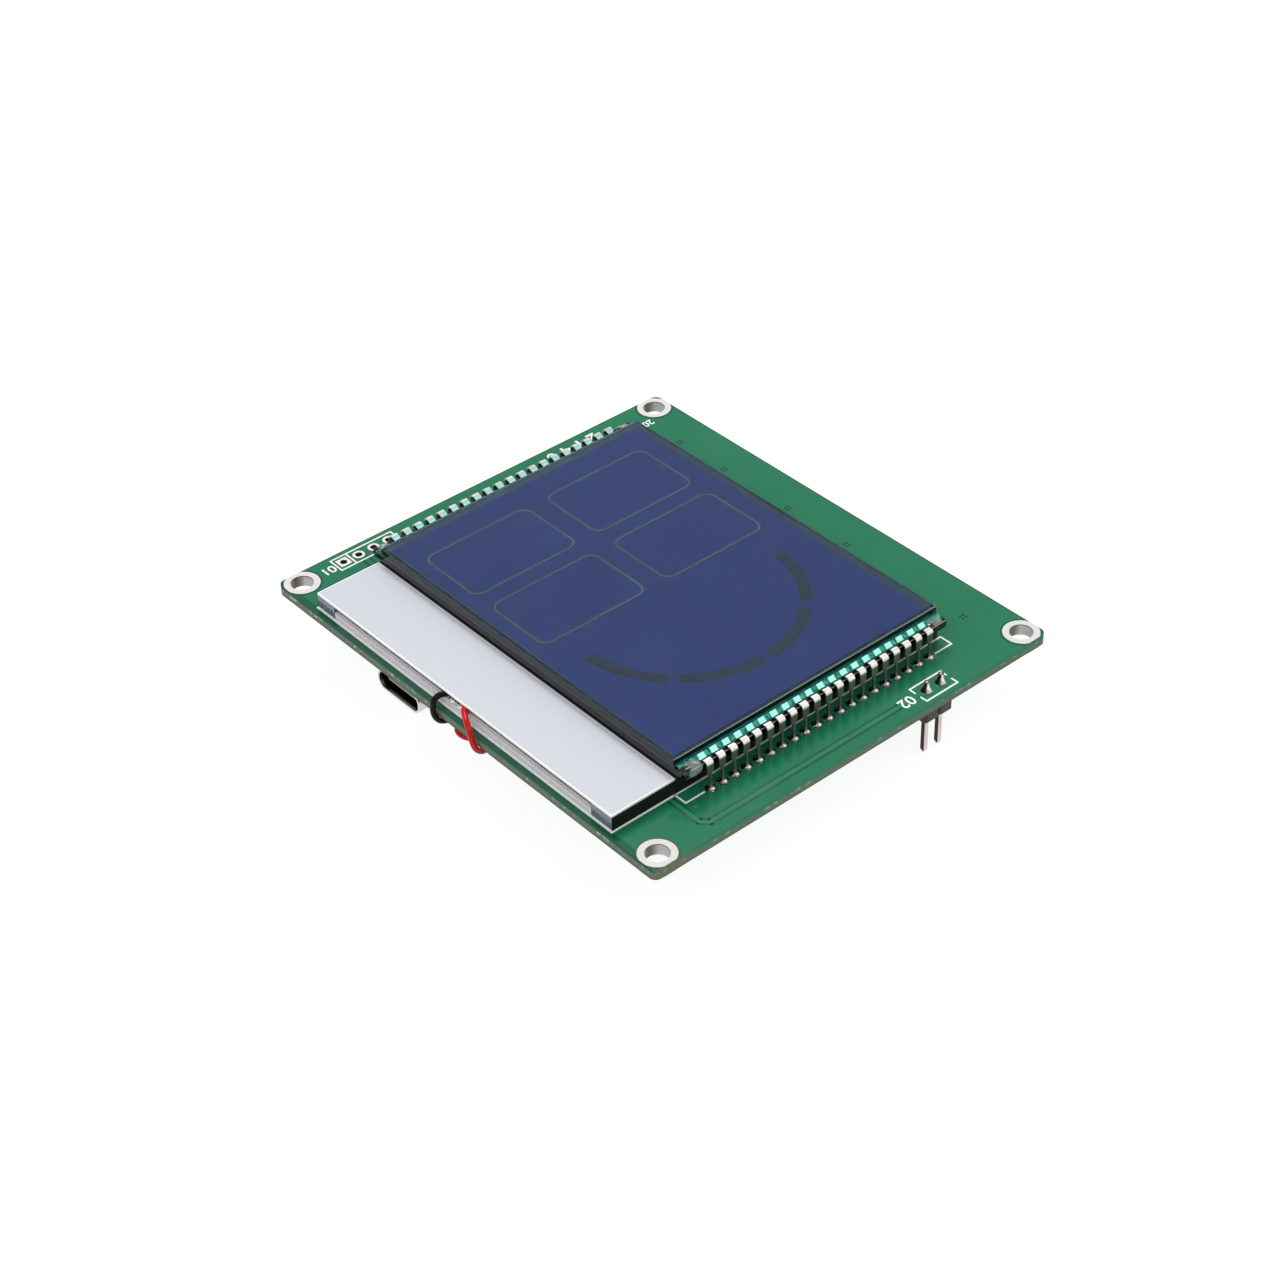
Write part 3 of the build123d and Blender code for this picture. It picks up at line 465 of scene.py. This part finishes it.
# Painted shade: the clips are painted dark below the level of their bend, and the fingers get a dark band
# between the bend and the tips, which the next line lightens again on the back row.
overpaint(clip_tin, where("Z", 5.5 * mm, 5.2 * mm), (0.22, 0.22, 0.19))
overpaint(clip_tin, out_from_middle(31.55 * mm, 31.35 * mm), (0.03, 0.06, 0.06))
overpaint(clip_tin, both(out_from_middle(31.6 * mm, 31.4 * mm), back_half), (0.50, 0.86, 0.76))
overpaint(clip_tin, out_from_middle(31.0 * mm, 30.85 * mm), (0.36, 0.84, 0.72))
# Painted highlight: lighter teal in patches along the resin's ridge. Painted shade: darker teal next to the
# front plate's edge.
overpaint(teal_resin, both(resin_ridge, patches(1400.0, 2.0, 0.38, 0.58)), (0.10, 0.60, 0.48))
overpaint(teal_resin, out_from_middle(30.0 * mm, 29.8 * mm), (0.0, 0.12, 0.12))
# Painted reflections on the corner drops: white patches as highlights and near-black patches as dark
# reflections.
overpaint(clear_resin, patches(700.0, 0.0, 0.52, 0.6), (0.96, 0.99, 0.99))
overpaint(clear_resin, patches(500.0, 0.0, 0.42, 0.36), (0.03, 0.05, 0.05))
overpaint(clear_resin, out_from_middle(30.55 * mm, 30.35 * mm), (0.22, 0.85, 0.66))
# Painted shade on the mounting-hole walls: a little darker overall, dark where they face the front, and dark
# in a band just under the board's top.
overpaint(pad_tin, upright, (0.66, 0.66, 0.64))
overpaint(pad_tin, both(upright, facing("Y", -0.7, -1.0)), (0.16, 0.13, 0.11))
overpaint(pad_tin, both(upright, under_top), (0.12, 0.11, 0.10))
# Painted highlight on the solder's front-facing sides, and painted shade on its left-facing sides.
overpaint(solder, facing("Y", -0.45, -0.75), (0.92, 0.84, 0.80))
overpaint(solder, left_face, (0.05, 0.03, 0.03))
# Painted shade: the walls of the socket, header and display pin holes are painted near black.
overpaint(hole_tin, upright, (0.05, 0.04, 0.04))
# Painted shade: the floor and far end of the receptacle's inside, past the mouth, are painted near black.
overpaint(steel, shell_inside, (0.03, 0.03, 0.03))
# Painted shade on the left-facing sides of the header pins.
overpaint(pin_tin, left_face, (0.03, 0.025, 0.02))
# Painted light: a white band along the top sheet's outer edges; the same share also lays a white line beside
# the cell.
overpaint(white_film, film_border, (0.96, 0.96, 0.97))
# Painted shade: a dark line on the sheet along the foot of the cell.
overpaint(white_film, where("X", ledge_low.x - 0.27 * mm, ledge_low.x - 0.2 * mm), (0.012, 0.02, 0.045))


# Finishes of the CAD nodes that stay

def coat(material, *names):
    """Give CAD nodes their finish."""
    for name in names:
        mesh = nodes[name].data
        mesh.materials.clear()
        mesh.materials.append(material)


coat(green_board, "circuit_board")
coat(track_green, "header_trace")
coat(via_green, "covered_vias")
coat(pad_tin, "mounting_hole_rings")
coat(hole_tin, "socket_rings", "header_rings", "display_pin_rings")
coat(clip_tin, "front_clip_pins", "back_clip_pins", "driver_chip_pins", "regulator_pins")
coat(pin_tin, "header_pins")
coat(solder, "front_pin_solder", "back_pin_solder", "header_solder")
coat(bright_solder, "lamp_strip_solder", "lead_pad_solder", "part_end_caps")
coat(white_ink, "board_legend")
coat(white_film, "diffuser_sheet", "reflector_sheet")
coat(black_tape, "black_side_tape")
coat(strip_white, "lamp_strip_board")
coat(lamp_white, "edge_lamps")
coat(copper, "lamp_contacts")
coat(gold, "port_contacts")
coat(dark_film, "rear_polarizer")
coat(seal_grey, "perimeter_seal")
coat(crystal_blue, "liquid_crystal_layer")
coat(segment_grey, "outlined_segments")
coat(arc_grey, "arc_segments")
coat(clear_resin, "end_seal")
coat(tongue_grey, "port_tongue")
coat(black_plastic, "header_spacer", "driver_chip_body", "regulator_body", "resistors")
coat(steel, "port_shell")
coat(black_sleeve, "black_lead")
coat(red_sleeve, "red_lead")
coat(tan_ceramic, "capacitors")


# Making of pieces

def piece(name, form, material, slot, *replaced, smooth=False):
    """A finished piece from its bmesh, in place of some CAD nodes or none."""
    mesh = bpy.data.meshes.new(name)
    form.to_mesh(mesh)
    form.free()
    mesh.materials.append(material)
    if smooth:
        mesh.shade_smooth()
    made = bpy.data.objects.new(name, mesh)
    scene.collection.objects.link(made)
    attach(made, "root")
    if replaced:
        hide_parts(*replaced)


def soften(form, edges, offset):
    """Round some edges off."""
    bmesh.ops.bevel(form, geom=edges, offset=offset, offset_type="OFFSET", segments=2,
                    profile=0.5, affect="EDGES", material=-1)


def plate(form, low, high, offset):
    """A plate between two corners with its edges taken off."""
    made = bmesh.ops.create_cube(form, size=1.0)["verts"]
    bmesh.ops.scale(form, verts=made, vec=high - low)
    bmesh.ops.translate(form, verts=made, vec=(low + high) / 2)
    soften(form, list({edge for corner in made for edge in corner.link_edges}), offset)


def cut_sheet(form, outline, low, high):
    """A flat sheet from its outline in plan, between two levels."""
    corners = [form.verts.new((x, y, low)) for x, y in outline]
    base = form.faces.new(corners)
    raised = bmesh.ops.extrude_face_region(form, geom=[base])["geom"]
    raised = [part for part in raised if isinstance(part, bmesh.types.BMVert)]
    bmesh.ops.translate(form, verts=raised, vec=(0, 0, high - low))
    bmesh.ops.recalc_face_normals(form, faces=form.faces)


# Glass cell. A hair of air stays between the plates, so that light passes each face once.

air = 0.01 * mm
chamfer = 0.08 * mm
for name, node_name, material, slot, offset in (
    ("front_film", "front_polarizer", film, "polarizer_film", 0.02 * mm),
    ("front_plate", "front_glass", clear_glass, "cell_glass", chamfer),
    ("rear_plate", "rear_glass", clear_glass, "cell_glass", chamfer),
):
    low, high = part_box(node_name)
    form = bmesh.new()
    plate(form, low + Vector((0, 0, air)), high - Vector((0, 0, air)), offset)
    piece(name, form, material, slot, node_name)

pocket_gap = 0.1 * mm
pocket_end = lamps_high.x + pocket_gap
guide_right = guide_high.x - air
form = bmesh.new()
cut_sheet(form, [
    (guide_low.x, guide_low.y),
    (guide_right, guide_low.y),
    (guide_right, guide_high.y),
    (guide_low.x, guide_high.y),
    (guide_low.x, strip_high.y + pocket_gap),
    (pocket_end, strip_high.y + pocket_gap),
    (pocket_end, strip_low.y - pocket_gap),
    (guide_low.x, strip_low.y - pocket_gap),
], guide_low.z + air, guide_high.z - air)
soften(form, form.edges[:], 0.03 * mm)
piece("light_plate", form, acrylic, "clear_acrylic", "light_guide")


# Resin on the ledges of the rear plate, with a swelling over each clip finger

pin_pitch = 2.0 * mm
pins_a_row = 20
first_pin = (pins_low.x + pins_high.x) / 2 - (pins_a_row - 1) / 2 * pin_pitch
bead_end_gap = 0.25 * mm
crown_height = 0.22
finger_swelling = 0.07
plate_climb = 0.16
ridge_height = 0.12
ridge_between_fingers = 0.1
ridge_middle = 0.4
ridge_half_width = 0.2
ripple_height = 0.05
foot_height = 0.012


def resin_bead(name, node_name, glass_side):
    """A bead from the front plate's edge out over the fingers. glass_side is -1 at the front."""
    low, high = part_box(node_name)
    inner = low.y if glass_side > 0 else high.y
    reach = high.y - low.y
    base = ledge_high.z + air
    end = ledge_high.x - bead_end_gap
    form = bmesh.new()
    bmesh.ops.create_grid(form, x_segments=220, y_segments=24, size=0.5)
    for vert in form.verts:
        along = vert.co.x * 2 * end
        out = vert.co.y + 0.5
        wave = 0.5 + 0.5 * cos((along - first_pin) / pin_pitch * 2 * pi)
        ripple = noise.noise(Vector((along * 900, out * 2, 3.0))) * ripple_height
        climb = plate_climb * (1 - out) ** 6
        hump = max(0.0, 1 - ((out - ridge_middle) / ridge_half_width) ** 2)
        ridge = (ridge_height + ridge_between_fingers * (1 - wave)) * hump
        crown = crown_height + finger_swelling * wave * (1 - out) + climb + ridge + ripple * (1 - out)
        rise = crown * (1 - out ** 3) + foot_height
        vert.co = (along, inner + glass_side * (air + out * (reach - air)), base + rise * mm)
    lowered = bmesh.ops.extrude_face_region(form, geom=form.faces[:])["geom"]
    for part in lowered:
        if isinstance(part, bmesh.types.BMVert):
            part.co.z = base
    bmesh.ops.recalc_face_normals(form, faces=form.faces)
    piece(name, form, teal_resin, "teal_resin", node_name, smooth=True)


resin_bead("front_resin", "front_ledge_resin", -1)
resin_bead("back_resin", "back_ledge_resin", 1)


def drop(form, middle, radii, squareness):
    """A drop with flattened sides, a little uneven. Its middle and radii are in millimetres."""
    made = bmesh.ops.create_uvsphere(form, u_segments=40, v_segments=24, radius=1.0)["verts"]
    for vert in made:
        unit = vert.co.normalized()
        dent = 1 - dent_depth * abs(noise.noise(unit * 1.3 + Vector(middle)))
        spot = [part + size * dent * abs(c) ** squareness * (1 if c > 0 else -1)
                for part, size, c in zip(middle, radii, unit)]
        vert.co = Vector(spot) * mm


dent_depth = 0.12
form = bmesh.new()
for middle, radii, squareness in (
    ((-21.15, -30.85, 5.2), (1.6, 1.1, 0.72), 0.8),
    ((21.0, -30.55, 5.45), (1.25, 0.75, 0.22), 0.9),
    ((-21.4, 31.0, 5.45), (0.9, 0.7, 0.3), 0.9),
    ((20.6, 31.0, 5.45), (1.6, 0.7, 0.3), 0.9),
):
    drop(form, middle, radii, squareness)
piece("corner_drops", form, clear_resin, "clear_resin", "corner_resin", smooth=True)


# Painted glints: pale strips in the chamfers of the front plate's front and right edges and of the ledge's
# front edge, where those edges catch the light

glint_width = chamfer * 0.7
form = bmesh.new()
for low, high in (
    ((plate_low.x + chamfer, plate_low.y + air, plate_high.z - chamfer),
     (plate_high.x - chamfer, plate_low.y + glint_width, plate_high.z - 2 * air)),
    ((plate_high.x - glint_width, plate_low.y + chamfer, plate_high.z - chamfer),
     (plate_high.x - air, plate_high.y - chamfer, plate_high.z - 2 * air)),
    ((ledge_low.x + chamfer, ledge_low.y + air, ledge_high.z - chamfer),
     (ledge_high.x - chamfer, ledge_low.y + glint_width, ledge_high.z - 2 * air)),
):
    plate(form, Vector(low), Vector(high), 0.01 * mm)
piece("painted_edge_glints", form, painted_glint_finish, "cell_glass")


# Gaps between the copper under the mask: beside the header's track, at the empty holes and round the pads

def track(form, points, width, low, high):
    """A track of constant width through points in plan, with round joints."""
    for start, end in zip(points, points[1:]):
        way = Vector((end[0] - start[0], end[1] - start[1], 0.0))
        made = bmesh.ops.create_cube(form, size=1.0)["verts"]
        bmesh.ops.scale(form, verts=made, vec=(way.length, width, high - low))
        turn = Matrix.Rotation(atan2(way.y, way.x), 3, "Z")
        bmesh.ops.rotate(form, verts=made, cent=(0, 0, 0), matrix=turn)
        middle = ((start[0] + end[0]) / 2, (start[1] + end[1]) / 2, (low + high) / 2)
        bmesh.ops.translate(form, verts=made, vec=middle)
    for x, y in points:
        made = bmesh.ops.create_cone(form, cap_ends=True, segments=12, radius1=width / 2, radius2=width / 2,
                                     depth=high - low)["verts"]
        bmesh.ops.translate(form, verts=made, vec=(x, y, (low + high) / 2))


def scaled(points):
    """Points in plan, from millimetres."""
    return [(x * mm, y * mm) for x, y in points]


def pad_gap(form, x, y, inner, outer, level):
    """A flat ring round a pad, left out where it would pass the board's edge."""
    steps = 64
    for step in range(steps):
        angles = (2 * pi * step / steps, 2 * pi * (step + 1) / steps)
        ring = [(x + radius * cos(angle), y + radius * sin(angle)) for radius, angle in (
            (inner, angles[0]), (outer, angles[0]), (outer, angles[1]), (inner, angles[1]),
        )]
        if all(board_low.x < px < board_high.x and board_low.y < py < board_high.y for px, py in ring):
            corners = [form.verts.new((px, py, level)) for px, py in ring]
            form.faces.new(corners)


gap_top = board_top + 0.012 * mm
gap_width = 0.36 * mm
hole_x = 31.55 * mm
hole_y = 36.45 * mm
pad_radius = 2.5 * mm
pad_gap_radius = 2.78 * mm
gap_runs = [
    [(8.9, -36.1), (-22.95, -36.1), (-23.7, -35.35), (-23.7, -30.5)],
    [(8.9, -36.95), (-23.3, -36.95), (-24.5, -35.75), (-24.5, -30.5)],
    [(-22.4, 35.1), (-22.4, 33.2)],
    [(-21.4, 35.1), (-21.4, 33.2)],
    [(-20.3, 35.1), (-20.3, 33.2)],
]
form = bmesh.new()
for run in gap_runs:
    track(form, scaled(run), gap_width, board_top, gap_top)
for side_x in (-1, 1):
    for side_y in (-1, 1):
        pad_gap(form, side_x * hole_x, side_y * hole_y, pad_radius, pad_gap_radius, gap_top)
piece("mask_gaps", form, gap_green, "board_laminate")


# Numbers at the ends of the pin rows and at both headers, printed to be read from the back

ink_half_depth = 0.01 * mm
ink_level = board_top + 0.05 * mm
stroke_swell = 0.014


def printed(form, words, x, y, height):
    """A number in white ink, its middle at a place on the board, in millimetres."""
    curve = bpy.data.curves.new("number", "FONT")
    curve.body = words
    curve.size = height * mm
    curve.extrude = ink_half_depth
    curve.offset = stroke_swell * mm * height
    curve.align_x = "CENTER"
    curve.align_y = "CENTER"
    letters = bpy.data.objects.new("number", curve)
    mesh = bpy.data.meshes.new_from_object(letters)
    mesh.transform(Matrix.Translation((x * mm, y * mm, ink_level)) @ Matrix.Rotation(pi, 4, "Z"))
    form.from_mesh(mesh)
    bpy.data.objects.remove(letters)
    bpy.data.curves.remove(curve)
    bpy.data.meshes.remove(mesh)


form = bmesh.new()
for words, x, y, height in (
    ("01", -27.3, 36.3, 2.2),
    ("02", 10.3, -36.5, 2.4),
    ("20", 28.2, 34.0, 1.8),
    ("2 1 4 0", 16.2, 36.6, 3.2),
):
    printed(form, words, x, y, height)
piece("printed_numbers", form, white_ink, "legend_white")
